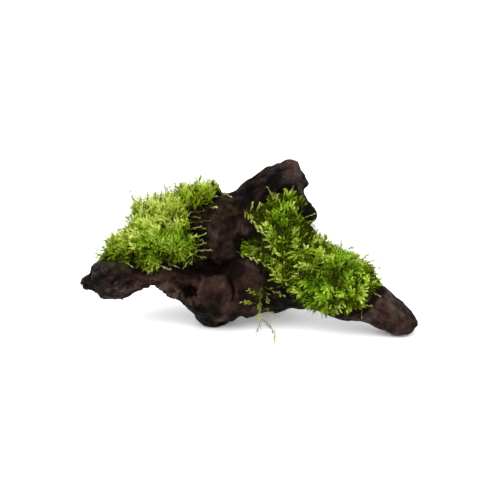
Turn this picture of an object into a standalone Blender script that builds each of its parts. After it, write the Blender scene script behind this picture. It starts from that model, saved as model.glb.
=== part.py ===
"""Java moss on driftwood: a dark branching piece of driftwood that stands on three worn spots,
with two cushions of moss on it and one sprig that hangs in front.

Metres, +Z up, the front faces -Y. The origin is at the middle of the piece's base.
"""

import math

import bmesh
import bpy
import numpy as np
from mathutils import Matrix, Vector

MM = 0.001
GAP = 0.3 * MM

# The moss outlines are drawn as seen from the front and this far above the horizon.
LOOK_DOWN = math.radians(22)

# Each limb is a row of sections: x, y, z of its middle, half its height and half its depth, in mm.
LIMBS = {
    "left": [
        (-98.5, -5, 26, 2, 2.7),
        (-96, -5, 27, 3, 4.7),
        (-92.5, -5, 29, 5, 8),
        (-89.5, -5, 31, 9, 11),
        (-86, -4, 30.5, 12.5, 13),
        (-78, -4, 30, 12.4, 14),
        (-69, -3, 37.5, 15, 15),
        (-59, -2, 45.3, 19.2, 16),
        (-48, 0, 48, 25, 18),
        (-34, 2, 48, 27.5, 19),
        (-18, 3, 47, 26, 20),
    ],
    "right": [
        (-6, 3, 50, 22, 19),
        (8, 3, 48, 25, 19),
        (22, -1, 36, 21.5, 17),
        (36, -5, 31.5, 19.5, 16),
        (49, -9, 27.5, 16.5, 15),
        (60, -12, 24, 15.5, 14),
        (70, -13, 19.5, 12.5, 13),
        (79, -13.5, 14.5, 11.5, 12),
        (87, -14, 9.5, 10, 11),
        (93.5, -15, 6, 5.6, 8),
        (98, -15, 5.5, 3.2, 4),
    ],
    "peak": [
        (-2, 6, 56, 17, 15),
        (4, 7, 69.5, 16, 14),
        (12, 8, 78.5, 15, 13),
        (19, 8, 86, 12.5, 11),
        (27, 8, 91.2, 8.3, 9),
        (33, 8, 94.8, 4.8, 6),
    ],
    "foot": [
        (-8, 8, 42, 15, 15),
        (0, 18, 28, 12, 13),
        (9, 25, 14, 9.5, 10.5),
        (13, 28, 3, 8, 9),
        (14, 29, -3, 6, 6),
    ],
}

# Swellings of the wood: middle, half sizes, and the turn about Y in degrees, in mm.
SWELLINGS = {
    "boss at the front": (-19, -2, 27, 24, 20, 24, 0),
    "foot of the boss": (-21, 0, 10.5, 13, 12, 14, 0),
    "lump at the front": (-18, -8, 61, 15, 12, 18, -8),
    "left shoulder": (-27, 6, 69, 15.5, 12.5, 12, 20),
    "saddle": (-13, 6, 71, 12, 10, 9, 0),
    "root of the peak": (22, 4, 69, 14, 13, 13, 0),
    "knob beside the peak": (31.5, 1, 68, 8, 6, 6.5, 10),
    "step under the break": (31, 9, 86.2, 5, 6, 4, 25),
    "nub on the shoulder": (-20, 5, 81, 3.5, 3.5, 7.5, 0),
    "ridge under the left arm": (-59, -3, 32.5, 13, 10, 5, 4),
    "shoulder at the left end": (-88, -6, 36.5, 4.5, 8, 6, 0),
    "bark between the left arm and the boss": (-46, -6, 27.2, 11, 8, 6, 36),
    "shelf right of the boss": (11, -6, 21, 15, 11, 9.5, 14),
    "web between the boss and the shelf": (0, -5, 15.5, 11, 10, 8.5, 25),
    "long ridge at the back": (-38, 19, 48, 26, 4, 3.5, -8),
    "short ridge at the back": (13, 19.5, 57, 4.5, 5, 14.5, 22),
    "ridge along the right end": (85, -11, 15, 9, 4, 4, 34),
}

# Hollows worn into the wood, given in the same way.
HOLLOWS = {
    "recess under the lump": (-22, -21, 43.5, 15, 13, 4.2, -4),
    "valley between lump and peak": (0, -22, 66, 3, 14, 18, -18),
    "knot hole beside the boss": (-37, -19, 28, 6, 7, 4.5, 10),
    "hollow under the right arm": (20, -25, 18, 13, 9, 8, 20),
    "notch at the right end": (96.5, -15, 1, 3.5, 12, 4, -35),
    "worn left end": (-100, -6, 36, 5, 10, 6, 30),
    "knot hole at the back": (-15, 30, 45, 12, 8, 18, 10),
    "groove behind the right arm": (40, 12, 20, 16, 8, 8, 10),
    "groove behind the left arm": (-62, 17, 40, 20, 5, 3.5, 14),
}

# The broken end of the peak: a point on the break and the way it faces.
BREAK_POINT = (28, 8, 92.8)
BREAK_FACES = (0.8, 0.0, 0.6)

VOXEL = 2.0 * MM
FINE_VOXEL = 1.4 * MM
SPRIG_VOXEL = 0.7 * MM
WOOD_TRIANGLES = 4400
MOSS_TRIANGLES = 1000
SPRIG_TRIANGLES = 420
WELD = 0.001 * MM
REACH = 90

# Where the limbs part: a point on the cut, the way the limb leaves, and half the width of the cut.
FORKS = {
    "driftwood_peak": ((15, 6, 71.7), (0.363, 0.0, 0.932), 31),
    "driftwood_right_arm": ((27, -2, 38), (0.94, -0.2, -0.28), 60),
    "driftwood_left_arm": ((-50, 0, 46), (-1.0, 0.0, 0.0), 60),
    "driftwood_rear_foot": ((6, 23, 18), (0.5, 0.39, -0.78), 14),
}

# Where the moss grips the wood, as outlines of x and height seen from the front, in mm.
MOSS_OUTLINES = {
    "moss_left_cushion": [
        (-88, 38), (-79, 39.5), (-67, 40), (-61, 34.5), (-56, 34), (-50, 39), (-37, 39.5), (-31, 44), (-34, 50),
        (-38, 58), (-37, 66), (-29, 73), (-21, 77), (-21, 95), (-63, 95), (-66, 59), (-74, 52.5), (-86, 51),
    ],
    "moss_right_cushion": [
        (10, 70), (13, 75), (20, 77.5), (26, 75.5), (28, 70), (29, 66), (33, 60), (41, 60),
        (68, 52), (73, 32), (70, 19), (64, 12), (55, 10), (41, 8), (29, 10), (31, 17),
        (21, 24), (12, 32), (7, 38), (-3, 42), (-3, 47), (7, 52), (5, 59), (-2, 65), (5, 66.5),
    ],
}
TUFT_SPACING = 5.5 * MM
TUFT_HEIGHT = {"moss_left_cushion": 10.5 * MM, "moss_right_cushion": 7.0 * MM}

# Tufts that stand up higher than the rest: the middle and half width of each, in mm.
TALL_TUFTS = {
    "moss_left_cushion": [(-59, -1, 69, 8), (-65.5, -1, 75.5, 5), (-48, 0, 75.5, 6.5), (-26, 5, 83, 5.5)],
    "moss_right_cushion": [(60, -11, 43, 6), (72, -13, 31, 5)],
}
EDGE_TUFT = 4.0 * MM
EDGE_WIDTH = 9 * MM
MOST_TURNED_AWAY = -0.5
MOST_TURNED_DOWN = -0.35

# The sprig's strands: rows of x, y, z and half width, in mm.
SPRIG = [
    [(7, -14, 32, 2.2), (6, -19, 29, 2.4), (5.3, -24, 23, 2.2), (5.3, -26.5, 18.5, 2), (6, -28, 13.4, 2)],
    [(6, -28, 13.4, 2), (4.6, -29, 10, 1.7), (3.6, -29.5, 6.3, 1.1)],
    [
        (6.5, -27.5, 15.5, 1.8), (10, -28.5, 13, 1.8), (13, -29.5, 9, 1.6), (14.7, -30, 5, 1.4),
        (13.8, -30, 2.6, 1),
    ],
    [(6, -21, 27, 2), (2, -22.5, 29.5, 1.8), (-1, -22, 31, 1.2)],
    [(5.3, -24, 23, 2), (0, -24.5, 24.5, 1.9), (-5, -24, 24.5, 1.2)],
    [(7, -17, 31, 2), (13.6, -20, 30, 1.6), (20.5, -22, 26.5, 1.2)],
    [(6, -25, 22, 1.9), (12, -26.5, 19.5, 1.7), (16.6, -27, 16, 1.1)],
]

COLOURS = {
    "driftwood": (0.045, 0.026, 0.021),
    "moss": (0.18, 0.33, 0.035),
}


def clear_scene():
    for obj in list(bpy.data.objects):
        bpy.data.objects.remove(obj)


def new_collection(name):
    collection = bpy.data.collections.new(name)
    bpy.context.scene.collection.children.link(collection)
    return collection


def new_material(name, colour, roughness):
    material = bpy.data.materials.new(name)
    material.use_nodes = True
    shader = material.node_tree.nodes["Principled BSDF"]
    shader.inputs["Base Color"].default_value = (*colour, 1)
    shader.inputs["Roughness"].default_value = roughness
    return material


def new_object(name, mesh, collection):
    obj = bpy.data.objects.new(name, mesh)
    collection.objects.link(obj)
    return obj


def as_guide(obj):
    """Marks obj as a helper that isn't part of the driftwood."""
    obj.hide_render = True
    obj.display_type = "WIRE"
    return obj


def apply_modifiers(obj):
    """Makes obj's mesh what its modifiers make of it."""
    bpy.context.view_layer.update()
    graph = bpy.context.evaluated_depsgraph_get()
    mesh = bpy.data.meshes.new_from_object(obj.evaluated_get(graph))
    obj.modifiers.clear()
    obj.data = mesh
    return obj


def limb_mesh(rows, around=16):
    """A closed skin over a row of upright ellipses, each across the line through their middles.
    A row is x, y, z, half the height and half the depth there, in mm."""
    rows = np.array(rows, float) * MM
    middle, high, deep = rows[:, :3], rows[:, 3], rows[:, 4]
    along = np.gradient(middle, axis=0)
    along /= np.linalg.norm(along, axis=1)[:, None]
    side = np.array([0.0, 1.0, 0.0]) - along * along[:, 1:2]
    side /= np.linalg.norm(side, axis=1)[:, None]
    up = np.cross(along, side)
    turn = np.arange(around) * 2 * math.pi / around
    rings = (
        middle[:, None]
        + (high[:, None] * np.cos(turn))[..., None] * up[:, None]
        + (deep[:, None] * np.sin(turn))[..., None] * side[:, None]
    )
    points = np.concatenate([rings.reshape(-1, 3), middle[[0, -1]]])
    faces = []
    last_ring = (len(rows) - 1) * around
    for corner in range(around):
        after = (corner + 1) % around
        for ring in range(0, last_ring, around):
            faces.append((ring + corner, ring + after, ring + around + after, ring + around + corner))
        faces.append((after, corner, len(points) - 2))
        faces.append((last_ring + corner, last_ring + after, len(points) - 1))
    mesh = bpy.data.meshes.new("limb")
    mesh.from_pydata([tuple(point) for point in points], [], faces)
    return mesh


def lump_mesh(x, y, z, half_x, half_y, half_z, turn):
    """An ellipsoid, in mm, turned about Y by turn degrees."""
    bm = bmesh.new()
    bmesh.ops.create_icosphere(bm, subdivisions=3, radius=MM)
    place = Matrix.Translation(Vector((x, y, z)) * MM)
    sizes = Matrix.Diagonal((half_x, half_y, half_z, 1))
    bm.transform(place @ Matrix.Rotation(math.radians(turn), 4, "Y") @ sizes)
    mesh = bpy.data.meshes.new("lump")
    bm.to_mesh(mesh)
    bm.free()
    return mesh


def box_mesh(point, way, half_width, start=0.0):
    """A box that begins at point, start further on, and runs REACH mm along way. Sizes in mm."""
    bm = bmesh.new()
    bmesh.ops.create_cube(bm, size=1)
    way = Vector(way).normalized()
    middle = Vector(point) + way * (start + REACH / 2)
    sizes = Matrix.Diagonal((2 * half_width, 2 * half_width, REACH, 1))
    turn = way.to_track_quat("Z", "Y").to_matrix().to_4x4()
    bm.transform(Matrix.Scale(MM, 4) @ Matrix.Translation(middle) @ turn @ sizes)
    mesh = bpy.data.meshes.new("box")
    bm.to_mesh(mesh)
    bm.free()
    return mesh


def joined(meshes):
    """One mesh that holds all of these, each closed and facing out."""
    bm = bmesh.new()
    for mesh in meshes:
        bm.from_mesh(mesh)
    bmesh.ops.remove_doubles(bm, verts=bm.verts, dist=WELD)
    bmesh.ops.recalc_face_normals(bm, faces=bm.faces)
    mesh = bpy.data.meshes.new("joined")
    bm.to_mesh(mesh)
    bm.free()
    return mesh


def grow_together(obj, voxel, rounds):
    """Fuses what obj holds into one skin and wears its edges round."""
    remesh = obj.modifiers.new("fuse", "REMESH")
    remesh.mode = "VOXEL"
    remesh.voxel_size = voxel
    smooth = obj.modifiers.new("wear", "SMOOTH")
    smooth.factor = 0.5
    smooth.iterations = rounds
    return apply_modifiers(obj)


def cut(obj, mesh, cutters, operation="DIFFERENCE"):
    """Cuts obj with a mesh, or keeps only what lies in it."""
    cutter = as_guide(new_object("cutter", mesh, cutters))
    boolean = obj.modifiers.new("cut", "BOOLEAN")
    boolean.operation = operation
    boolean.object = cutter
    boolean.use_self = True
    apply_modifiers(obj)
    bpy.data.objects.remove(cutter)
    return obj


def weather(obj):
    """Raises and sinks the skin with three grades of worn undulation."""
    for name, grain, strength in (("swell", 26, 4.0), ("ripple", 11, 2.2), ("wear", 5.5, 1.1)):
        texture = bpy.data.textures.new(name, "CLOUDS")
        texture.noise_scale = grain * MM
        texture.noise_depth = 1
        displace = obj.modifiers.new(name, "DISPLACE")
        displace.texture = texture
        displace.texture_coords = "LOCAL"
        displace.strength = strength * MM
        displace.mid_level = 0.5
    return apply_modifiers(obj)


def thin_out(obj, triangles):
    """Keeps about this many triangles, where the shape needs them most."""
    obj.data.calc_loop_triangles()
    decimate = obj.modifiers.new("thin", "DECIMATE")
    decimate.ratio = triangles / len(obj.data.loop_triangles)
    decimate.use_collapse_triangulate = True
    return apply_modifiers(obj)


def keep_largest(obj):
    """Drops the chips that a cut leaves beside the main body."""
    bm = bmesh.new()
    bm.from_mesh(obj.data)
    bm.verts.ensure_lookup_table()
    seen, bodies = set(), []
    for start in bm.verts:
        if start in seen:
            continue
        seen.add(start)
        body, front = [start], [start]
        while front:
            near = [edge.other_vert(vertex) for vertex in front for edge in vertex.link_edges]
            front = [vertex for vertex in dict.fromkeys(near) if vertex not in seen]
            seen.update(front)
            body += front
        bodies.append(body)
    bodies.sort(key=len)
    bmesh.ops.delete(bm, geom=[vertex for body in bodies[:-1] for vertex in body], context="VERTS")
    bm.to_mesh(obj.data)
    bm.free()
    return obj


def build_wood(helpers, cutters):
    """The whole driftwood as one fine skin, not yet cut off at the floor."""
    shapes = [limb_mesh(rows) for rows in LIMBS.values()]
    shapes += [lump_mesh(*swelling) for swelling in SWELLINGS.values()]
    wood = new_object("driftwood", joined(shapes), helpers)
    grow_together(wood, VOXEL, rounds=3)
    cut(wood, joined([lump_mesh(*hollow) for hollow in HOLLOWS.values()]), cutters)
    cut(wood, box_mesh(BREAK_POINT, BREAK_FACES, half_width=20), cutters)
    grow_together(wood, FINE_VOXEL, rounds=3)
    return weather(wood)


def inside(outline, across, height):
    """Which of the points lie in the outline, by counting the edges to their right."""
    result = np.zeros(len(across), bool)
    ends = np.array(outline) * MM
    for (x0, z0), (x1, z1) in zip(ends, np.roll(ends, -1, axis=0)):
        if z0 == z1:
            continue
        crossed = (z0 > height) != (z1 > height)
        result ^= crossed & (across < x0 + (height - z0) * (x1 - x0) / (z1 - z0))
    return result


def from_edge(outline, across, height):
    """How far each point is from the outline's nearest edge."""
    points = np.stack([across, height], 1)
    ends = np.array(outline) * MM
    nearest = np.full(len(points), np.inf)
    for start, end in zip(ends, np.roll(ends, -1, axis=0)):
        edge = end - start
        share = np.clip((points - start) @ edge / (edge @ edge), 0, 1)
        nearest = np.minimum(nearest, np.linalg.norm(points - start - share[:, None] * edge, axis=1))
    return nearest


def tuft_places(wood, outline, seed):
    """Places spread over the wood inside the outline, each with its distance from the outline's edge."""
    count = len(wood.data.vertices)
    points = np.empty(count * 3)
    normals = np.empty(count * 3)
    wood.data.vertices.foreach_get("co", points)
    wood.data.vertices.foreach_get("normal", normals)
    points, normals = points.reshape(-1, 3), normals.reshape(-1, 3)
    to_viewer = np.array([0, -math.cos(LOOK_DOWN), math.sin(LOOK_DOWN)])
    height = points[:, 2] * math.cos(LOOK_DOWN) + points[:, 1] * math.sin(LOOK_DOWN)
    fits = inside(outline, points[:, 0], height)
    fits &= (normals @ to_viewer > MOST_TURNED_AWAY) & (normals[:, 2] > MOST_TURNED_DOWN)
    candidates = np.random.default_rng(seed).permutation(np.flatnonzero(fits))
    places = []
    while len(candidates):
        places.append(candidates[0])
        apart = np.linalg.norm(points[candidates] - points[candidates[0]], axis=1)
        candidates = candidates[apart > TUFT_SPACING]
    return points[places], from_edge(outline, points[places, 0], height[places])


def moss_cushion(name, wood, bark, seed, moss, cutters):
    """A bumpy cushion: a tuft at each place on the wood, all grown together, and fitted to the wood."""
    places, edge = tuft_places(wood, MOSS_OUTLINES[name], seed)
    share = np.clip(edge / EDGE_WIDTH, 0, 1)
    heights = EDGE_TUFT + (TUFT_HEIGHT[name] - EDGE_TUFT) * share
    heights *= np.random.default_rng(seed).uniform(0.85, 1.15, len(heights))
    tufts = [
        lump_mesh(*(place / MM), *([height / MM] * 3), 0)
        for place, height in zip(places, heights)
    ]
    tufts += [lump_mesh(x, y, z, half, half, half, 0) for x, y, z, half in TALL_TUFTS[name]]
    cushion = new_object(name, joined(tufts), moss)
    grow_together(cushion, FINE_VOXEL, rounds=4)
    thin_out(cushion, MOSS_TRIANGLES)
    cut(cushion, bark, cutters)
    return keep_largest(cushion)


def strand_mesh(rows, helpers):
    """A tapering round strand along a smooth line. A row is x, y, z and half the width there, in mm."""
    curve = bpy.data.curves.new("strand", "CURVE")
    curve.dimensions = "3D"
    curve.bevel_depth = MM
    curve.bevel_resolution = 2
    curve.use_fill_caps = True
    spline = curve.splines.new("BEZIER")
    spline.resolution_u = 4
    spline.bezier_points.add(len(rows) - 1)
    for point, (x, y, z, half_width) in zip(spline.bezier_points, rows):
        point.co = Vector((x, y, z)) * MM
        point.handle_left_type = point.handle_right_type = "AUTO"
        point.radius = half_width
    strand = new_object("strand", curve, helpers)
    bpy.context.view_layer.update()
    graph = bpy.context.evaluated_depsgraph_get()
    mesh = bpy.data.meshes.new_from_object(strand.evaluated_get(graph))
    bpy.data.objects.remove(strand)
    return mesh


def hanging_sprig(bark, moss, helpers, cutters):
    """The sprig as thin strands grown together, cut clear of the wood."""
    strands = joined([strand_mesh(rows, helpers) for rows in SPRIG])
    sprig = new_object("moss_hanging_sprig", strands, moss)
    grow_together(sprig, SPRIG_VOXEL, rounds=2)
    thin_out(sprig, SPRIG_TRIANGLES)
    cut(sprig, bark, cutters)
    return keep_largest(sprig)


def bark_of(wood):
    """The wood's skin a little swollen, which keeps the moss clear of it."""
    skin = wood.copy()
    skin.data = wood.data.copy()
    wood.users_collection[0].objects.link(skin)
    displace = skin.modifiers.new("swell", "DISPLACE")
    displace.strength = 1.5 * GAP
    displace.mid_level = 0
    mesh = apply_modifiers(skin).data
    bpy.data.objects.remove(skin)
    return mesh


def part_limbs(wood, collection, cutters):
    """Cuts the limbs off at the forks, leaving a hair's gap, and names what remains the trunk."""
    pieces = []
    gap = GAP / MM
    for name, (point, way, half_width) in FORKS.items():
        limb = new_object(name, wood.data.copy(), collection)
        cut(limb, box_mesh(point, way, half_width, gap / 2), cutters, "INTERSECT")
        cut(wood, box_mesh(point, way, half_width + gap, -gap / 2), cutters)
        pieces.append(keep_largest(limb))
    trunk = new_object("driftwood_trunk", wood.data, collection)
    pieces.append(keep_largest(trunk))
    return pieces


def centre_on_base(pieces):
    """Moves the pieces so that the middle of their common base is the origin."""
    points = np.array([vertex.co for piece in pieces for vertex in piece.data.vertices])
    low, high = points.min(axis=0), points.max(axis=0)
    shift = Vector((-(low[0] + high[0]) / 2, -(low[1] + high[1]) / 2, -low[2]))
    for piece in pieces:
        piece.location = shift


def main():
    clear_scene()
    collection = new_collection("java_moss_on_driftwood")
    helpers = new_collection("helpers")
    cutters = new_collection("cutters")
    bark_brown = new_material("driftwood", COLOURS["driftwood"], 0.55)
    moss_green = new_material("moss", COLOURS["moss"], 0.6)

    wood = build_wood(helpers, cutters)
    fine = new_object("fine_driftwood", wood.data.copy(), helpers)
    thin_out(wood, WOOD_TRIANGLES)
    cut(wood, box_mesh((0, 0, 0), (0, 0, -1), half_width=150), cutters)
    bark = bark_of(wood)

    moss = [
        moss_cushion(name, fine, bark, seed, collection, cutters)
        for seed, name in enumerate(MOSS_OUTLINES)
    ]
    moss.append(hanging_sprig(bark, collection, helpers, cutters))
    timber = part_limbs(wood, collection, cutters)

    for pieces, material in ((timber, bark_brown), (moss, moss_green)):
        for piece in pieces:
            piece.data.materials.clear()
            piece.data.materials.append(material)
            piece.data.shade_smooth()
    centre_on_base(timber + moss)
    for helper in list(helpers.objects):
        bpy.data.objects.remove(helper)


main()
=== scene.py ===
# %% [markdown]
# # Java moss on driftwood
# Shops tie java moss to small pieces of dark bogwood, and it grows over them as soft green cushions.
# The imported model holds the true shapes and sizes: the five limbs of the wood, two solids in the form
# of the moss cushions, and the main strands of a loose sprig. This lesson turns them into weathered
# wood and thousands of little fronds, without moving or resizing anything.

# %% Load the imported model
import math

import bmesh
import bpy
import numpy as np
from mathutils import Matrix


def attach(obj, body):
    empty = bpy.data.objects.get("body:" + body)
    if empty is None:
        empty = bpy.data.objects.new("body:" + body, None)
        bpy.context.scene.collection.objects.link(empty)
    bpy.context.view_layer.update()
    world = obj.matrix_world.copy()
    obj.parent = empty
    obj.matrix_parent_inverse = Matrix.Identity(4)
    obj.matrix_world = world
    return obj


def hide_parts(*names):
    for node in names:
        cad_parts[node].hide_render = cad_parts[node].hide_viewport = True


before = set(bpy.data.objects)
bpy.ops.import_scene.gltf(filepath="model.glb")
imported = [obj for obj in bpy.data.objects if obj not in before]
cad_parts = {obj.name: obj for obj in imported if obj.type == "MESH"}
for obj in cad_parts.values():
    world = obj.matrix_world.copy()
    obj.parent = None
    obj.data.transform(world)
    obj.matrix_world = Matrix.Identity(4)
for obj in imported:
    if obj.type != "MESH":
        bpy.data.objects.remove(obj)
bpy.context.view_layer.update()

MM = 0.001
print("solids:", ", ".join(sorted(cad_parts)))

# %% [markdown]
# ## The camera
# The photograph looks slightly down on the piece from the front. One pixel spans about 0.6 mm there.
# The camera could be placed by eye, but here it is worked out from three facts: how steeply it looks
# down, how far away it is, and which point of the base it sees at which pixel. The same facts tell
# later cells at which pixel any point of the model is seen.

# %% Place the camera
PICTURE = 500
LOOK_DOWN = math.radians(22)
CAMERA_DISTANCE = 900 * MM
PIXEL = 0.593 * MM
BASE_POINT = np.array([0.3, -3.0, 0]) * MM
BASE_COLUMN, BASE_ROW = 250, 323.2

across = np.array([1.0, 0.0, 0.0])
ahead = np.array([0.0, math.cos(LOOK_DOWN), -math.sin(LOOK_DOWN)])
above = np.array([0.0, math.sin(LOOK_DOWN), math.cos(LOOK_DOWN)])
aim = BASE_POINT + above * (BASE_ROW - PICTURE / 2) * PIXEL - across * (BASE_COLUMN - PICTURE / 2) * PIXEL
camera_place = aim - ahead * CAMERA_DISTANCE


def linked(name, data):
    """A new object with this data, put in the scene."""
    made = bpy.data.objects.new(name, data)
    bpy.context.scene.collection.objects.link(made)
    return made


camera_data = bpy.data.cameras.new("camera")
camera_data.sensor_width = 36
camera_data.lens = camera_data.sensor_width * CAMERA_DISTANCE / (PICTURE * PIXEL)
camera = linked("camera", camera_data)
camera.location = camera_place
camera.rotation_euler = (math.pi / 2 - LOOK_DOWN, 0, 0)
bpy.context.scene.camera = camera


def seen_at(points):
    """Pixel column, pixel row and depth of each point: its sideways and upward distance from the
    line of sight, divided by its depth and scaled so that the aim's pixels span PIXEL."""
    offset = points - camera_place
    depth = offset @ ahead
    scale = CAMERA_DISTANCE / PIXEL / depth
    return PICTURE / 2 + offset @ across * scale, PICTURE / 2 - offset @ above * scale, depth


print("lens", round(camera_data.lens, 1), "mm")

# %% [markdown]
# ## Arrays in and out of meshes
# Every shape below is worked out on whole numpy arrays: points in rows of three, faces in rows of
# four. Going through Python lists would be slow with a million corners, so one function reads a mesh
# into arrays and one writes arrays into a mesh.

# %% Read and write meshes as arrays
def mesh_arrays(mesh):
    """The mesh's points, its vertex normals and its faces as three or four corners each."""
    points = np.empty(len(mesh.vertices) * 3, np.float32)
    normals = np.empty(len(mesh.vertices) * 3, np.float32)
    mesh.vertices.foreach_get("co", points)
    mesh.vertices.foreach_get("normal", normals)
    corners = np.empty(len(mesh.loops), np.int32)
    mesh.loops.foreach_get("vertex_index", corners)
    points, normals = (values.reshape(-1, 3).astype(float) for values in (points, normals))
    return points, normals, corners.reshape(-1, len(corners) // len(mesh.polygons))


def mesh_from_arrays(name, points, faces):
    """A smooth mesh of these points and of faces that all have the same number of corners."""
    mesh = bpy.data.meshes.new(name)
    count, width = faces.shape
    mesh.vertices.add(len(points))
    mesh.vertices.foreach_set("co", points.astype(np.float32).ravel())
    mesh.loops.add(count * width)
    mesh.loops.foreach_set("vertex_index", faces.astype(np.int32).ravel())
    mesh.polygons.add(count)
    mesh.polygons.foreach_set("loop_start", np.arange(0, count * width, width, dtype=np.int32))
    mesh.polygons.foreach_set("use_smooth", np.ones(count, bool))
    mesh.update(calc_edges=True)
    return mesh


def add_piece(name, mesh, material):
    """Puts a finished mesh in the scene as a piece that rides on the object's one body."""
    piece = linked(name, mesh)
    mesh.materials.append(material)
    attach(piece, "root")
    print(name, "has", len(mesh.polygons) * 2, "triangles")
    return piece


# %% [markdown]
# ## Noise
# Weathered wood and wild moss are irregular, but the script has to give the same result each time.
# Lattice noise does both: each corner of an invisible lattice gets a random number that depends only
# on its place and a seed, and points in between blend the numbers of the eight corners round them.

# %% Lattice noise
PLACE_SCRAMBLERS = (73856093, 19349663, 83492791)
SEED_SCRAMBLER = 2654435761


def lattice_noise(points, cell, seed):
    """Smooth noise from 0 to 1. Each lattice corner's number is a scrambled form of its place, and
    a point blends its eight corners by the curve t*t*(3-2t) along each axis."""
    places = points / cell
    corner = np.floor(places).astype(np.int64)
    share = places - corner
    share = share * share * (3 - 2 * share)
    total = np.zeros(len(points))
    for step in np.ndindex(2, 2, 2):
        x, y, z = ((corner + step) * PLACE_SCRAMBLERS).T
        number = x ^ y ^ z ^ (seed * SEED_SCRAMBLER)
        number = (number ^ (number >> 13)) * 1274126177 & 0xFFFFFFFF
        number = (number ^ (number >> 16)) * 2246822519 & 0xFFFFFFFF
        weight = np.prod(np.where(step, share, 1 - share), axis=1)
        total += weight * (number & 0xFFFF) / 0xFFFF
    return total


def smooth_step(values, low, high):
    """0 below low, 1 above high, and a soft rise between them."""
    share = np.clip((values - low) / (high - low), 0, 1)
    return share * share * (3 - 2 * share)


# %% [markdown]
# ## The driftwood as one skin
# The real wood grew as one piece, and the model parts it at its forks with hair-thin gaps. A copy of
# the five limbs is swollen until the gaps close, fused by a voxel remesh, smoothed and shrunk back.
# That leaves one even skin that is fine enough to carve, at the limbs' true size.

# %% Fuse the limbs into one fine skin
LIMBS = [name for name in sorted(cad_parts) if name.startswith("driftwood")]
SKIN_CELL = 0.71 * MM
CLOSING = 0.45 * MM
MERGE_DISTANCE = 0.001 * MM


def merged_copy(names):
    """One mesh of copies of these nodes, with the loose triangles' corners merged."""
    bm = bmesh.new()
    for name in names:
        bm.from_mesh(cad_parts[name].data)
    bmesh.ops.remove_doubles(bm, verts=bm.verts, dist=MERGE_DISTANCE)
    mesh = bpy.data.meshes.new("copy")
    bm.to_mesh(mesh)
    bm.free()
    return mesh


def remeshed(mesh, cell, swell, smoothing):
    """Points, normals and faces of the mesh after it is swollen, remeshed, smoothed and shrunk."""
    helper = linked("helper", mesh)
    displace = helper.modifiers.new("swell", "DISPLACE")
    displace.strength = swell
    displace.mid_level = 0
    remesh = helper.modifiers.new("remesh", "REMESH")
    remesh.mode = "VOXEL"
    remesh.voxel_size = cell
    smooth = helper.modifiers.new("smooth", "SMOOTH")
    smooth.factor = 0.5
    smooth.iterations = smoothing
    bpy.context.view_layer.update()
    done = helper.evaluated_get(bpy.context.evaluated_depsgraph_get()).to_mesh()
    points, normals, faces = mesh_arrays(done)
    bpy.data.objects.remove(helper)
    return points - normals * swell, normals, faces


skin, skin_normals, skin_faces = remeshed(merged_copy(LIMBS), SKIN_CELL, CLOSING, smoothing=24)
print("driftwood skin:", len(skin), "points,", len(skin_faces) * 2, "triangles")

# %% [markdown]
# ## Which way the grain runs
# Driftwood shows its grain as long ridges and furrows, which follow each limb. A row of straight
# fibres per limb is enough: noise that is squeezed across a fibre line and stretched along it looks
# like grain, and each point blends the noise of the lines near it.

# %% The lines that the fibres follow
FIBRE_LINES = np.array([
    [(-99, -8, 27), (-50, -3, 47)],
    [(-50, -3, 47), (-14, -1, 56)],
    [(-20, -8, 2), (-17, -10, 74)],
    [(2, 0, 50), (40, -9, 32)],
    [(40, -9, 32), (99, -19, 8)],
    [(0, 4, 60), (34, 5, 98)],
    [(-8, 5, 42), (14, 26, 0)],
]) * MM


def fibre_weights(points):
    """How much each fibre line counts at each point: the sixth power of its nearness."""
    start, end = FIBRE_LINES[:, 0], FIBRE_LINES[:, 1]
    along = end - start
    offset = points[:, None] - start
    share = np.clip((offset * along).sum(2) / (along * along).sum(1), 0, 1)
    distance = np.linalg.norm(offset - share[..., None] * along, axis=2)
    weight = 1 / (distance + 1 * MM) ** 6
    return weight / weight.sum(1, keepdims=True)


def grain_noise(points, weights, cell, stretch, seed):
    """Noise from 0 to 1 in streaks: for each fibre line the points are laid out as distance along
    it, squeezed by stretch, and distance across it, and the lines' noises are blended."""
    total = np.zeros(len(points))
    for number, (start, end) in enumerate(FIBRE_LINES):
        along = (end - start) / np.linalg.norm(end - start)
        side = np.cross(along, (0.0, 0.3, 1.0) if abs(along[2]) < 0.9 else (1.0, 0.0, 0.0))
        side /= np.linalg.norm(side)
        laid_out = points @ np.stack([along / stretch, side, np.cross(along, side)], axis=1)
        total += weights[:, number] * lattice_noise(laid_out, cell, seed + 10 * number)
    return total


# The fibres wander, so the streaks are read at points that are pushed about a little.
WANDER = 2.4 * MM
pushed = np.stack([lattice_noise(skin, 13 * MM, seed) - 0.5 for seed in (1, 2, 3)], axis=1) * WANDER * 2
weights = fibre_weights(skin)
coarse_grain = grain_noise(skin + pushed, weights, cell=2.8 * MM, stretch=9, seed=20)
fine_grain = grain_noise(skin + pushed, weights, cell=1.3 * MM, stretch=12, seed=40)
print("grain runs along", len(FIBRE_LINES), "lines")

# %% [markdown]
# ## Cracks, pits and knots
# The photograph shows a crack down the boss, a rotted knot hole beside it, pits at the left end and
# crumbled bark under the left arm. Each is placed by the pixel at which it is seen: the nearest
# point of the skin that faces the camera there takes the mark, so it sits on the wood from any side.
# A path is a list of pixels. A place is a pixel's column and row, and a radius in millimetres.

# %% Find the skin behind a pixel
GRAZING = 0.05
MOST_PIXELS_APART = 2.5
MM_PER_PIXEL_APART = 2

skin_column, skin_row, skin_depth = seen_at(skin)
faces_camera = skin_normals @ -ahead > GRAZING


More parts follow.
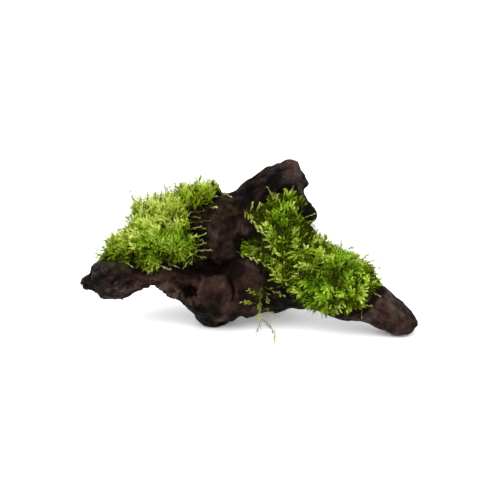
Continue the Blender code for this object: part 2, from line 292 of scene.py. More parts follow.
def skin_behind(pixels):
    """For each pixel, the skin's point that is seen there: of the points near the pixel's line of
    sight, the one closest to the camera, where each pixel apart counts like 2 mm of depth."""
    pixels = np.array(pixels, float)
    apart = np.hypot(skin_column - pixels[:, :1], skin_row - pixels[:, 1:])
    cost = skin_depth + apart * MM_PER_PIXEL_APART * MM
    cost = np.where(faces_camera & (apart < MOST_PIXELS_APART), cost, np.inf)
    cost = np.where(np.isinf(cost.min(1, keepdims=True)), apart, cost)
    return np.argmin(cost, axis=1)


print("skin points that face the camera:", int(faces_camera.sum()))


# %% Measure how near the skin is to places and paths
def near_places(places):
    """1 round the skin's points that are seen at these places, 0 from 1.5 times the radius on."""
    near = np.zeros(len(skin))
    for column, row, radius_mm in places:
        radius = radius_mm * MM
        away = np.linalg.norm(skin - skin[skin_behind([(column, row)])], axis=1)
        near = np.maximum(near, smooth_step(-away, -1.5 * radius, -0.5 * radius))
    return near


def away_from_path(points, path):
    """The way to each point from the nearest place on a path of straight stretches."""
    away = np.full((len(points), 3), np.inf)
    for start, end in zip(path[:-1], path[1:]):
        along = end - start
        share = np.clip((points - start) @ along / (along @ along), 0, 1)
        offset = points - start - share[:, None] * along
        nearer = np.linalg.norm(offset, axis=1) < np.linalg.norm(away, axis=1)
        away[nearer] = offset[nearer]
    return away


def distance_to_path(pixels):
    """How far each point of the skin is from a path that is seen at these pixels."""
    return np.linalg.norm(away_from_path(skin, skin[skin_behind(pixels)]), axis=1)


# %% Where the marks are, as pixels of the photograph
BOSS_CRACK = [(229, 277), (231, 283), (233.5, 289), (233.5, 294), (231.5, 301)]
RECESS = [(186, 266), (196, 269), (208, 269), (222, 270), (236, 271)]
PALE_EDGES = [
    [(148, 287), (160, 287), (175, 286), (190, 284)],
    [(398, 297), (403, 304), (408, 311)],
    [(92, 264), (99, 264), (106, 264)],
    [(372, 292), (383, 301), (392, 307)],
]
SIDE_CRACKS = [
    [(243, 214), (245, 228), (242, 243)],
    [(212, 262), (224, 263), (236, 258)],
    [(262, 176), (274, 171), (287, 168)],
    [(250, 190), (262, 184), (276, 182)],
    [(388, 300), (398, 307), (407, 318)],
    [(370, 305), (383, 312), (396, 322)],
]
BARK_STRETCH = [(120, 290), (150, 284), (178, 290), (190, 300)]
KNOT_HOLE = (191, 293)
PITS = [
    (98, 270), (106, 276), (113, 282), (104, 286), (122, 288), (134, 282), (176, 283), (183, 279), (199, 279),
]
RAISED_PLACES = [(294, 163, 6), (242, 186, 5)]
SUNK_PLACES = [(88, 267, 5), (80, 284, 3), (408, 308, 6), (232, 194, 4)]
SMOOTH_PLACES = [(213, 292, 12), (222, 232, 14)]
ROUGH_PLACES = [(92, 283, 12), (112, 285, 14), (396, 316, 14), (378, 312, 10)]

crack = distance_to_path(BOSS_CRACK)
recess = distance_to_path(RECESS)
pale_edge, side_crack = (
    np.min([distance_to_path(path) for path in paths], axis=0) for paths in (PALE_EDGES, SIDE_CRACKS)
)
knot = np.linalg.norm(skin - skin[skin_behind([KNOT_HOLE])], axis=1)
pit = np.min(np.linalg.norm(skin[:, None] - skin[skin_behind(PITS)], axis=2), axis=1)
crumbled = smooth_step(-distance_to_path(BARK_STRETCH), -11 * MM, -4 * MM)
crumbled = np.clip(crumbled + smooth_step(-knot, -9 * MM, -4 * MM), 0, 1)
print("marks placed:", 1 + len(SIDE_CRACKS), "cracks,", len(PITS), "pits")

# %% [markdown]
# ## Carve the relief
# All the marks are heights above or below the smooth skin, in millimetres, so they simply add up.
# Crags and chips come from noise folded at its middle, which gives sharp crests, and long natural
# cracks are the places where the folded grain comes close to its crest. The boss and the lump above
# it are worn smooth, and the broken ends are rough. The skin moves along its normals by the sum, but
# not where it stands on the floor.

# %% The forms that the relief is made of
def folded(noise):
    """Noise folded at one half: 1 on the fold, 0 far from it."""
    return 1 - np.abs(2 * noise - 1)


def bell(distance, width):
    """exp(-(distance / width)^2): 1 at distance 0, and close to 0 from twice the width on."""
    return np.exp(-((distance / width) ** 2))


swell = lattice_noise(skin, 9 * MM, 61) - 0.5
crags = folded(grain_noise(skin + 1.5 * pushed, weights, cell=6.5 * MM, stretch=2.2, seed=50)) - 0.6
chips = folded(grain_noise(skin + pushed, weights, cell=3 * MM, stretch=1.8, seed=55)) - 0.6
crumble = lattice_noise(skin, 1.9 * MM, 63) + 0.6 * lattice_noise(skin, 1.1 * MM, 64) - 0.8
long_grain = folded(grain_noise(skin + pushed, weights, cell=6 * MM, stretch=5, seed=80))
long_cracks = smooth_step(long_grain, 0.94, 1.0)
crack_stretches = smooth_step(lattice_noise(skin, 17 * MM, 65), 0.45, 0.62)
crack_width = 0.3 * MM + 0.4 * MM * lattice_noise(skin, 2 * MM, 66)
print("long cracks on", int((long_cracks * crack_stretches > 0).sum()), "points")

# %% Add up the relief and move the skin
relief = (
    1.1 * swell - 0.35
    + (1.5 * crags + 0.6 * chips) * (1 - 0.75 * near_places(SMOOTH_PLACES))
    + near_places(ROUGH_PLACES) * (0.6 * chips + 0.7 * crumble)
    + 0.7 * (coarse_grain - 0.5)
    + 0.35 * (fine_grain - 0.5)
    - 0.55 * long_cracks * crack_stretches
    + crumbled * (2.4 * crumble + 1.2 * chips)
    - 2.0 * bell(crack, crack_width)
    - 0.9 * bell(recess, 3.6 * MM)
    + 0.5 * bell(pale_edge, 0.8 * MM)
    + 0.9 * near_places(RAISED_PLACES)
    - 1.0 * near_places(SUNK_PLACES)
    - 0.7 * bell(side_crack, 0.7 * MM)
    - 2.4 * bell(knot, 3.4 * MM)
    + 0.35 * bell(knot - 5.5 * MM, 1.3 * MM)
    - 1.0 * bell(pit, 1.0 * MM)
)
near_floor = smooth_step(skin[:, 2], 0.4 * MM, 3 * MM)
wood = skin + skin_normals * (relief * near_floor * MM)[:, None]
wood[:, 2] = np.maximum(wood[:, 2], 0)
print("relief from", round(relief.min(), 2), "to", round(relief.max(), 2), "mm")

# %% [markdown]
# ## The finish of the wood
# Waterlogged bogwood is almost black and hardly shines. Its colour follows the relief: crests are
# lighter from wear and a little smoother, and furrows and cracks are kept black as painted shade. A
# material works such things out with Math nodes, but long sums are hard to read as nodes. A small class
# turns ordinary Python arithmetic into them, and one method adds any other node.

# %% A small language for shader maths
class Quantity:
    """One output of a node. Arithmetic on quantities adds Math nodes to their finish."""

    def __init__(self, finish, socket):
        self.finish, self.socket = finish, socket

    def maths(self, operation, *terms):
        return self.finish.node("Math", {"operation": operation}, dict(enumerate(terms)))

    def __add__(self, other):
        return self.maths("ADD", self, other)

    def __sub__(self, other):
        return self.maths("SUBTRACT", self, other)

    def __mul__(self, other):
        return self.maths("MULTIPLY", self, other)

    def __rsub__(self, other):
        return self.maths("SUBTRACT", other, self)

    __radd__ = __add__
    __rmul__ = __mul__

    def between(self, low, high):
        """0 where this is below low, 1 where it is above high, and even in between."""
        return self.finish.node("MapRange", inputs={0: self, 1: low, 2: high})


class Finish:
    """A material, with one method that adds any node to it."""

    def __init__(self, name):
        self.material = bpy.data.materials.new(name)
        self.material.use_nodes = True
        self.tree = self.material.node_tree
        self.tree.nodes.clear()

    def node(self, kind, settings=None, inputs=None, output=0):
        """Adds a shader node of this kind: its settings first, then numbers, colours or quantities for
        its sockets. The setting "stops" fills a colour ramp with pairs of a place and a colour."""
        made = self.tree.nodes.new("ShaderNode" + kind)
        for name, value in (settings or {}).items():
            if name == "stops":
                for place, colour in value[len(made.color_ramp.elements):]:
                    made.color_ramp.elements.new(place)
                for stop, (place, colour) in zip(made.color_ramp.elements, value):
                    stop.position, stop.color = place, (*colour, 1)
            else:
                setattr(made, name, value)
        for name, value in (inputs or {}).items():
            if isinstance(value, Quantity):
                self.tree.links.new(value.socket, made.inputs[name])
            else:
                made.inputs[name].default_value = value
        return Quantity(self, made.outputs[output]) if made.outputs else None

    def mixed(self, share, first, second):
        """The first colour where share is 0, the second where it is 1, and their mix in between."""
        return self.node("Mix", {"data_type": "RGBA"}, {0: share, 6: first, 7: second}, output=2)

    def noise(self, place, scale, detail, roughness=0.5):
        """Noise from 0 to 1, with this many cells in a metre and this many finer layers in them."""
        return self.node("TexNoise", inputs={
            "Vector": place, "Scale": scale, "Detail": detail, "Roughness": roughness,
        })

    def ramp(self, value, *stops):
        """A colour for the value, which blends from stop to stop. A stop is a place and a colour."""
        return self.node("ValToRGB", {"stops": stops}, {0: value})

    def done(self, surface):
        """The finished material."""
        self.node("OutputMaterial", inputs={"Surface": surface})
        return self.material


# %% [markdown]
# ## Damp bark
# A photograph of bark would not survive a closer look, so the colours come from the carved shape.
# The height of the relief is stored on the mesh as an attribute, and so are how worn and how green
# with algae the wood is, where stains and painted shade darken it, and where a painted grey sheen
# with glints lies on it, at the places where the photograph shows them. Painted shade also darkens
# the bark where moss grows close to it, so that distance is measured first. Fibres too fine for the
# mesh are noise that is squeezed across the grain. Each limb leans its own way, so there is one such
# noise for each way to lean, and more attributes say how much of each to use.

# %% Measure how far the moss is from the bark
CUSHIONS = ("moss_left_cushion", "moss_right_cushion")
POINTS_AT_ONCE = 1500


def nearest(points, targets):
    """The nearest target's number for each point. The squared distance is |b|^2 - 2 a.b plus a
    constant, so one matrix product per slice of points gives all of them."""
    targets_mm, points_mm = (targets / MM).astype(np.float32), (points / MM).astype(np.float32)
    squares = (targets_mm ** 2).sum(1)
    slices = np.array_split(points_mm, max(1, len(points) // POINTS_AT_ONCE))
    return np.concatenate([np.argmin(squares - 2 * part @ targets_mm.T, axis=1) for part in slices])


def solid_arrays(name):
    """Points and triangles of a moss solid, with its merged corners."""
    points, _, faces = mesh_arrays(merged_copy([name]))
    return points, faces


moss_points = np.concatenate([solid_arrays(name)[0] for name in CUSHIONS])
moss_distance = np.linalg.norm(skin - moss_points[nearest(skin, moss_points)], axis=1)
print("points of the bark under 5 mm from moss:", int((moss_distance < 5 * MM).sum()))

# %% What the bark's material reads from the mesh
LEANS = {"left": (0, 1), "upright": (2,), "right": (3, 4), "peak": (5, 6)}
LEAN_ANGLES = {"left": 20, "upright": 78, "right": -22, "peak": 47}
WORN_PLACES = [
    (212, 291, 13), (396, 312, 15), (290, 168, 5), (160, 279, 9), (135, 283, 5), (249, 272, 8),
    (246, 225, 5), (226, 310, 6), (245, 288, 7),
]
# Darker places: partly stains, partly painted shade in hollows and on undersides.
STAIN_AND_SHADE_PLACES = [
    (264, 298, 8), (280, 306, 8), (241, 210, 4), (189, 288, 4), (235, 318, 5), (330, 318, 7),
    (240, 240, 4), (202, 316, 7), (289, 300, 8), (98, 270, 7), (309, 214, 7), (272, 180, 4),
    (245, 202, 5), (213, 312, 6), (184, 266, 5), (236, 268, 4), (246, 186, 8),
]
# Painted highlight: a grey sheen with fine glints on the lump, both ends and the peak.
PAINTED_SHEEN_PLACES = [
    (216, 231, 5), (106, 270, 8), (274, 170, 6), (398, 300, 8), (112, 284, 7), (406, 318, 7),
    (290, 175, 5),
]
ALGAE_PLACES = [
    (99, 259, 5), (112, 262, 4), (122, 264, 4), (262, 250, 6), (256, 293, 4.5), (250, 215, 4),
    (232, 208, 4),
]

worn = near_places(WORN_PLACES) * (0.55 + 0.45 * lattice_noise(skin, 5 * MM, 70))
worn = np.maximum(worn, bell(pale_edge, 0.7 * MM))
stained = near_places(STAIN_AND_SHADE_PLACES) * (0.3 + 0.7 * lattice_noise(skin, 4 * MM, 73))
# Painted shade: the crack, the recess under the lump and the bark next to the moss are darkened.
stained += bell(crack, 0.45 * MM) + bell(recess, 4.5 * MM)
stained += 0.8 * smooth_step(-moss_distance, -5 * MM, -1.5 * MM)
# Painted sheen: where the grey highlight with glints is painted on.
bloom = near_places(PAINTED_SHEEN_PLACES) * smooth_step(lattice_noise(skin, 4 * MM, 71), 0.2, 0.7)
algae = near_places(ALGAE_PLACES) * smooth_step(lattice_noise(skin, 2 * MM, 72), 0.1, 0.6)

wood_mesh = mesh_from_arrays("driftwood_bark", wood, skin_faces)
for name, values in {
    "relief": np.clip(0.55 + relief / 3, 0, 1),
    "worn": worn,
    "stained": np.clip(stained, 0, 1),
    "bloom": bloom,
    "algae": algae,
    **{lean: weights[:, lines].sum(axis=1) for lean, lines in LEANS.items()},
}.items():
    attribute = wood_mesh.attributes.new(name, "FLOAT", "POINT")
    attribute.data.foreach_set("value", values.astype(np.float32))
print("worn share of the bark:", round(float(worn.mean()), 2))


# %% The bark's material
def bark_finish():
    """Near-black in furrows, cracks and stains, where the dark of furrows and cracks is painted shade;
    brown on crests and where it is worn; with fibres along each limb, a painted grey sheen of fine
    glints, and some green from algae."""
    bark = Finish("driftwood_bark")
    place = bark.node("TexCoord", output="Object")
    relief, worn, stained, bloom, algae = (
        bark.node("Attribute", {"attribute_name": name}, output="Fac")
        for name in ("relief", "worn", "stained", "bloom", "algae")
    )
    fibres = 0
    for lean, angle in LEAN_ANGLES.items():
        squeezed = bark.node("Mapping", {"vector_type": "TEXTURE"}, {
            "Vector": place,
            "Rotation": (0, -math.radians(angle), 0),
            "Scale": (14, 1, 1),
        })
        streaks = bark.noise(squeezed, 1500, 3, roughness=0.6)
        share = bark.node("Attribute", {"attribute_name": lean}, output="Fac")
        fibres = streaks * share + fibres
    blotches = bark.noise(place, 95, 4)
    mottles = bark.noise(place, 260, 3)
    grit = bark.noise(place, 900, 2)
    # Painted shade: low relief and the shade part of the stain attribute darken the tone; high relief is
    # lighter where crests are worn.
    tone = relief * 0.6 + fibres * 0.6 + blotches + mottles * 0.9 - stained * 0.6 - 1.05
    dark = bark.ramp(
        tone,
        (0.20, (0.0010, 0.0005, 0.0003)),
        (0.45, (0.0062, 0.0030, 0.0019)),
        (0.65, (0.0145, 0.0076, 0.0052)),
        (0.92, (0.0360, 0.0230, 0.0180)),
    )
    brown = bark.ramp(
        tone,
        (0.20, (0.0060, 0.0023, 0.0018)),
        (0.45, (0.0180, 0.0082, 0.0065)),
        (0.65, (0.0275, 0.0142, 0.0116)),
        (0.92, (0.0430, 0.0260, 0.0220)),
    )
    colour = bark.mixed(worn, dark, brown)
    colour = bark.mixed(algae * 0.7, colour, (0.022, 0.017, 0.004, 1))
    # Painted highlight: a grey sheen of fine glints is mixed into the colour.
    painted_glints = grit.between(0.56, 0.68)
    colour = bark.mixed(bloom * (painted_glints * 0.20 + 0.04), colour, (0.145, 0.142, 0.14, 1))
    roughness = 0.6 - relief * 0.25 + grit * 0.12
    height = fibres * 0.7 + grit * 0.3
    bump = bark.node("Bump", inputs={"Strength": 0.55, "Distance": 0.25 * MM, "Height": height})
    return bark.done(bark.node("BsdfPrincipled", inputs={
        "Base Color": colour, "Roughness": roughness, "Specular IOR Level": 0.02, "Normal": bump,
    }))


driftwood = add_piece("driftwood_bark", wood_mesh, bark_finish())
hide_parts(*LIMBS)

# %% [markdown]
# ## How java moss grows
# A shoot of java moss creeps over the wood, then rises and sends out branchlets to its left and
# right, all in about one plane. Stem and branchlets are threads 0.2 to 0.3 mm thick with two rows of
# leaves about a millimetre long. Hair particles can't carry leaves and do not export, so the shoots
# are joined meshes: arrays hold thousands of curves, and leaves are set along all of them in one go.
# A curve is three points, its root, its bend and its tip.

# %% Points and directions along many curves
SHORTEST = 1e-12


def points_along(curves, t):
    """Each curve's points at its values of t: (1-t)^2 root + 2t(1-t) bend + t^2 tip."""
    t = t[..., None]
    root, bend, tip = (curves[:, None, part] for part in range(3))
    return (1 - t) ** 2 * root + 2 * t * (1 - t) * bend + t ** 2 * tip


def unit(vectors):
    """The vectors made one long."""
    return vectors / np.maximum(np.linalg.norm(vectors, axis=-1, keepdims=True), SHORTEST)


def frames_along(curves, flats, t):
    """Three directions at those points: ahead along the curve, which is (1-t)(bend - root) +
    t(tip - bend), sideways, which is the curve's flat direction squared up to it, and out."""
    t = t[..., None]
    root, bend, tip = (curves[:, None, part] for part in range(3))
    forward = unit((1 - t) * (bend - root) + t * (tip - bend))
    side = unit(flats[:, None] - (flats[:, None] * forward).sum(-1, keepdims=True) * forward)
    return forward, side, np.cross(side, forward)


# %% [markdown]
# ## Threads and leaves
# A thread is a three-sided tube whose rings follow the curve and shrink towards its tip. A leaf is
# a kite of four corners that starts on the thread and points half ahead and half sideways. Every
# corner also gets a place on a small colour chart: how green the shoot is, and how far the corner
# is from the shoot's dark foot to its pale tip. The chart is the pieces' UV map, so the colour
# depends on nothing else, and thousands of leaves share it. Flat leaves that all face different
# ways would glitter, so their normals lean towards the cushion's outside, which shades them softly.

# %% Threads and leaves on many curves
STEM_HUE = 0.05


def thread_faces(curves, flats, outside, radii, ages, sections):
    """Tubes: the ring at t is the curve's point plus radius times (cos a side + sin a out), for
    three angles a, with the radius falling evenly to a tenth at the tip."""
    t = np.tile(np.linspace(0, 1, sections + 1), (len(curves), 1))
    centre = points_along(curves, t)
    _, side, out = frames_along(curves, flats, t)
    radius = radii[:, None] * (1 - 0.9 * t)
    angles = np.radians([90, 210, 330])
    ring = np.cos(angles)[:, None] * side[:, :, None] + np.sin(angles)[:, None] * out[:, :, None]
    points = centre[:, :, None] + radius[..., None, None] * ring
    here = np.arange(len(curves) * (sections + 1) * 3).reshape(len(curves), sections + 1, 3)
    turn = np.roll(here, -1, axis=2)
    faces = np.stack([here[:, :-1], turn[:, :-1], turn[:, 1:], here[:, 1:]], axis=-1)
    age = ages[:, :1] + (ages[:, 1:] - ages[:, :1]) * t
    chart = np.stack(np.broadcast_arrays(STEM_HUE + 0.01 * np.cos(angles), age[..., None]), axis=-1)
    normals = unit(ring + outside[:, None, None])
    return points.reshape(-1, 3), faces.reshape(-1, 4), chart.reshape(-1, 2), normals.reshape(-1, 3)


def leaf_faces(curves, flats, outside, lengths, hues, ages, count, rng):
    """Kites: leaf k of a curve starts at t = k / count, alternately to the left and the right, and
    points along cos(40) ahead + sin(40) sideways + a little out. It is as long as the curve's
    length for leaves, times 0.6 + 0.4 sin(pi t), and half of that wide. A leaf whose back is
    turned outside is turned over."""
    t = (np.arange(count) + 0.6 + rng.uniform(-0.3, 0.3, (len(curves), count))) / count
    base = points_along(curves, t)
    forward, side, out = frames_along(curves, flats, t)
    side = side * np.where(np.arange(count) % 2, 1, -1)[:, None]
    splay = np.radians(rng.uniform(26, 54, t.shape))[..., None]
    lift = rng.uniform(-0.12, 0.3, t.shape)[..., None]
    along = unit(np.cos(splay) * forward + np.sin(splay) * side + lift * out)
    roll = rng.uniform(-0.25, 0.25, t.shape)[..., None]
    across_leaf = unit(np.cross(along, out + roll * side))
    normal = np.cross(across_leaf, along)
    turn = np.where((normal * outside[:, None]).sum(-1, keepdims=True) < 0, -1, 1)
    length = (lengths[:, None] * (0.6 + 0.4 * np.sin(np.pi * t)) * rng.uniform(0.8, 1.15, t.shape))[..., None]
    middle = base + 0.42 * length * along + 0.06 * length * out
    half = 0.25 * length * across_leaf * turn
    points = np.stack([base, middle + half, base + length * along, middle - half], axis=2)
    faces = np.arange(points.size // 3).reshape(-1, 4)
    age = ages[:, :1] + (ages[:, 1:] - ages[:, :1]) * t + rng.uniform(-0.04, 0.04, t.shape)
    hue = hues[:, None] + rng.uniform(-0.05, 0.05, t.shape)
    chart = np.stack([
        hue[..., None] + np.array([0, 0.004, 0, -0.004]),
        age[..., None] + np.array([-0.05, 0, 0.07, 0]),
    ], axis=-1)
    normals = np.broadcast_to(unit(0.5 * normal * turn + outside[:, None])[:, :, None], points.shape)
    return points.reshape(-1, 3), faces, chart.reshape(-1, 2), normals.reshape(-1, 3)


def joined(parts):
    """One set of points, faces, chart places and normals from several."""
    points, faces, charts, normals = zip(*parts)
    starts = np.cumsum([0] + [len(part) for part in points[:-1]])
    faces = [part + start for part, start in zip(faces, starts)]
    return tuple(np.concatenate(arrays) for arrays in (points, faces, charts, normals))


# %% [markdown]
# ## A whole shoot
# A shoot is a stem with leaves and a comb of leafy branchlets. The branchlets near the foot are
# longest, they bend forward as they grow, and their tips are the palest part of the moss.

# %% Shoots from stem curves
THREAD_RADIUS = 0.13 * MM


def branchlets_of(stems, flats, lengths, count, rng):
    """Side curves: branchlet k starts at t = 0.15 + 0.8 k / count on its stem, alternately to the left
    and the right at 20 to 45 degrees, and its tip bends towards the stem's heading. Also their
    flat directions and those values of t."""
    t = 0.15 + 0.8 * (np.arange(count) + rng.uniform(0, 1, (len(stems), count))) / count
    base = points_along(stems, t)
    forward, side, out = frames_along(stems, flats, t)
    side = side * np.where(np.arange(count) % 2, 1, -1)[:, None]
    splay = np.radians(rng.uniform(20, 45, t.shape))[..., None]
    lift = rng.uniform(-0.3, 0.4, t.shape)[..., None]
    start = unit(np.cos(splay) * forward + np.sin(splay) * side + lift * out)
    length = (lengths[:, None] * (1.1 - 0.6 * t) * rng.uniform(0.6, 1.2, t.shape))[..., None]
    bend = base + 0.5 * length * start
    tip = bend + 0.55 * length * unit(start + 0.5 * forward + 0.15 * out)
    curves = np.stack([base, bend, tip], axis=2).reshape(-1, 3, 3)
    tilt = rng.uniform(-0.4, 0.4, t.shape)[..., None]
    return curves, unit(np.cross(out, start) + tilt * out).reshape(-1, 3), t


def shoots(stems, flats, outside, hues, ages, spread, rng,
           branchlets=6, stem_leaves=20, leaves=13, leaf=0.9 * MM):
    """Stems and branchlets with their leaves, joined. Ages run from 0 for the dark foot to about 1
    for the pale tip. A branchlet starts nearly as its stem is there, and its tip is paler by 0.2 to
    0.5, but hardly paler than the stem's tip. Where all stems share a value, one is enough."""
    outside = np.broadcast_to(outside, (len(stems), 3))
    hues, spread, radii = (np.broadcast_to(value, len(stems)) for value in (hues, spread, THREAD_RADIUS))
    sizes = rng.uniform(0.8, 1.2, len(stems)) * leaf
    parts = [
        thread_faces(stems, flats, outside, radii, ages, 4),
        leaf_faces(stems, flats, outside, sizes, hues, ages, stem_leaves, rng),
    ]
    if branchlets:
        curves, sides, t = branchlets_of(stems, flats, spread, branchlets, rng)
        root_age = ages[:, :1] + (ages[:, 1:] - ages[:, :1]) * t * 0.85
        tip_age = np.minimum(root_age + rng.uniform(0.2, 0.5, t.shape), ages[:, 1:] + 0.08)
        side_ages = np.stack([root_age, tip_age], axis=-1).reshape(-1, 2)
        outside, radii, sizes, hues = (
            np.repeat(values, branchlets, axis=0) for values in (outside, radii * 0.75, sizes, hues)
        )
        parts.append(thread_faces(curves, sides, outside, radii, side_ages, 2))
        parts.append(leaf_faces(curves, sides, outside, sizes, hues, side_ages, leaves, rng))
    return joined(parts)


# %% [markdown]
# ## The green of the moss
# Old growth near the wood is olive and half rotted, new growth is a bright yellow-green with pale
# tips, and shaded places keep a deep, clean green. The chart carries both: across it the colour goes
# from stem to yellow-green to deep green, and up it from foot to tip. Thin leaves also let some light
# through, so a fixed part of the surface is translucent.

# %% The material of the shoots
def shoot_finish():
    """Colours by the chart: stems at the left, then yellow-green, then deep green at the right."""
    moss = Finish("java_moss")
    chart = moss.node("UVMap", {"uv_map": "OFBake"})
    hue = moss.node("SeparateXYZ", inputs={0: chart}, output=0)
    age = moss.node("SeparateXYZ", inputs={0: chart}, output=1)
    stem = moss.ramp(
        age,
        (0.0, (0.010, 0.007, 0.002)),
        (0.5, (0.095, 0.085, 0.022)),
        (1.0, (0.460, 0.450, 0.190)),
    )
    sunny = moss.ramp(
        age,
        (0.0, (0.006, 0.007, 0.0005)),
        (0.35, (0.062, 0.090, 0.002)),
        (0.7, (0.265, 0.375, 0.008)),
        (1.0, (0.600, 0.665, 0.170)),
    )
    shady = moss.ramp(
        age,
        (0.0, (0.003, 0.006, 0.0005)),
        (0.35, (0.035, 0.084, 0.001)),
        (0.7, (0.155, 0.340, 0.004)),
        (1.0, (0.420, 0.600, 0.055)),
    )
    leaf = moss.mixed(hue.between(0.3, 0.9), sunny, shady)
    colour = moss.mixed(hue.between(0.08, 0.12), stem, leaf)
    surface = moss.node("BsdfPrincipled", inputs={
        "Base Color": colour, "Roughness": 0.5, "Specular IOR Level": 0.02,
    })
    glow = moss.node("BsdfTranslucent", inputs={"Color": (0.28, 0.38, 0.015, 1)})
    return moss.done(moss.node("MixShader", inputs={0: 0.25, 1: surface, 2: glow}))


SHOOT_FINISH = shoot_finish()


def add_shoots(name, made, *solids):
    """Puts joined shoots in the scene with their chart, in place of the moss solids they fill."""
    points, faces, chart, normals = made
    mesh = mesh_from_arrays(name, points, faces)
    chart_places = chart[faces.ravel()].astype(np.float32).ravel()
    mesh.uv_layers.new(name="OFBake").uv.foreach_set("vector", chart_places)
    mesh.normals_split_custom_set_from_vertices(normals.tolist())
    piece = add_piece(name, mesh, SHOOT_FINISH)
    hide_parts(*solids)


# %% [markdown]
# ## Where shoots stand
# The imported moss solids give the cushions' form: shoots root on the bark below a solid and end at its
# outer face. Tips are spread evenly over that face by dropping many random points on it and keeping
# one in each small cell of space. Each root is the nearest bark to a place a few millimetres behind
# its tip, so shoots lean over each other, and near a cushion's rim they lean outwards.

# %% Spread the tips and find their roots
TRIES_PER_CELL = 12
LEAST_HEIGHT = 1.0 * MM
MOST_TURNED_IN = -0.3
ROOT_DEPTH = 0.3 * MM

bark_points, bark_normals = wood[::3], skin_normals[::3]


def spread_over(name, spacing, rng):
    """Points spread over the outer face of a moss solid: a random triangle by area, a random place
    in it, and one point kept per cell of space. Also their outward normals, the nearest bark's
    numbers and the heights over it."""
    points, faces = solid_arrays(name)
    corner = points[faces]
    cross = np.cross(corner[:, 1] - corner[:, 0], corner[:, 2] - corner[:, 0])
    area = np.linalg.norm(cross, axis=1) / 2
    pick = rng.choice(len(faces), int(TRIES_PER_CELL * area.sum() / spacing ** 2), p=area / area.sum())
    first, second = np.sqrt(rng.uniform(size=len(pick))), rng.uniform(size=len(pick))
    share = np.stack([1 - first, first * (1 - second), first * second], axis=1)
    places = (corner[pick] * share[..., None]).sum(1)
    outward = unit(cross[pick])
    _, kept = np.unique(np.floor(places / spacing).astype(int), axis=0, return_index=True)
    places, outward = places[kept], outward[kept]
    below = nearest(places, bark_points)
    height = ((places - bark_points[below]) * bark_normals[below]).sum(1)
    outer = (height > LEAST_HEIGHT) & ((outward * bark_normals[below]).sum(1) > MOST_TURNED_IN)
    return places[outer], outward[outer], below[outer], height[outer]


def swirl(points, cell, seed):
    """A smooth random direction at each point, from three lattice noises."""
    return unit(np.stack([lattice_noise(points, cell, seed + k) - 0.5 for k in range(3)], axis=1))


def stems_to(tips, outward, below, height, growth, seed, rng):
    """Stem curves from the bark to the tips. They lean along the bark, the way that the outward
    direction, the direction of growth and a swirl add up to. The root is the bark nearest to
    the tip minus 4 to 9 mm times the lean. The bend stands over the root, 0.8 of the height up."""
    normal = bark_normals[below]
    lean = growth + outward + 0.6 * swirl(tips, 9 * MM, seed) + 0.5 * swirl(tips, 3 * MM, seed + 5)
    lean = unit(lean - (lean * normal).sum(1, keepdims=True) * normal)
    reach = (rng.uniform(4, 9, len(tips)) * MM)[:, None]
    root_at = nearest(tips - lean * reach, bark_points)
    root = bark_points[root_at] - bark_normals[root_at] * ROOT_DEPTH
    bend = root + unit(bark_normals[root_at] + normal) * (0.8 * height)[:, None] + lean * 0.25 * reach
    flat = np.cross(unit(tips - root), unit(normal + 0.9 * rng.normal(size=tips.shape)))
    return np.stack([root, bend, tips], axis=1), unit(flat)


# %% [markdown]
# ## The undergrowth
# Under the bright shoots lies a felt of old, dark stems. Seen between the shoots it is only a rough
# dark green layer, so it is made from the moss solid itself: each point moves towards the nearest
# bark until it lies at less than half its height, and noise makes it rough. In some places the
# photograph shows bare wood between the shoots, and there is no felt there.

# %% The felt's material
BARE_PLACES = [
    (147, 253, 5), (156, 250, 3), (128, 256, 5), (168, 257, 4), (264, 248, 7.5), (272, 260, 6.5),
    (304, 211, 6), (310, 217, 6), (258, 236, 4.5),
]


def felt_finish():
    """Olive and dark green blotches with a rough, fibrous bump."""
    felt = Finish("moss_undergrowth")
    place = felt.node("TexCoord", output="Object")
    tufts = felt.noise(place, 700, 4, roughness=0.7)
    patches = felt.noise(place, 120, 2)
    colour = felt.ramp(
        tufts * 0.7 + patches * 0.3,
        (0.30, (0.0026, 0.0024, 0.0004)),
        (0.50, (0.0110, 0.0130, 0.0008)),
        (0.72, (0.0380, 0.0500, 0.0020)),
    )
    bump = felt.node("Bump", inputs={"Strength": 0.8, "Distance": 0.6 * MM, "Height": tufts})
    return felt.done(felt.node("BsdfPrincipled", inputs={
        "Base Color": colour, "Roughness": 0.9, "Specular IOR Level": 0.01, "Normal": bump,
    }))


FELT_FINISH = felt_finish()

# %% Draw the felt towards the bark
FELT_CELL = 0.95 * MM
BARE_DEPTH = 1.2 * MM


def seen_near(points, places):
    """1 at points that are seen close to one of these places, 0 from a place's radius on."""
    column, row, _ = seen_at(points)
    near = []
    for x, y, radius_mm in places:
        radius = radius_mm * MM
        near.append(smooth_step(-np.hypot(column - x, row - y) * PIXEL, -radius, -0.4 * radius))
    return np.max(near, axis=0)


def add_felt(name, solid, seed):
    """The solid's skin drawn towards the bark: bark + (point - bark) (0.3 + 0.3 noise) + roughness.
    Where the moss is bare, the felt sinks below the bark."""
    points, normals, faces = remeshed(merged_copy([solid]), FELT_CELL, swell=0, smoothing=6)
    below = nearest(points, bark_points)
    base = bark_points[below]
    share = 0.3 + 0.3 * lattice_noise(points, 6 * MM, seed)
    bare = seen_near(points, BARE_PLACES)
    points = base + (points - base) * (share * (1 - bare))[:, None]
    points += normals * ((lattice_noise(points, 1.5 * MM, seed + 1) - 0.5) * 1.2 * MM)[:, None]
    points -= bark_normals[below] * (bare * BARE_DEPTH)[:, None]
    piece = add_piece(name, mesh_from_arrays(name, points, faces), FELT_FINISH)
    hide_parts(solid)


add_felt("moss_left_undergrowth", "moss_left_cushion", seed=100)
add_felt("moss_right_undergrowth", "moss_right_cushion", seed=110)
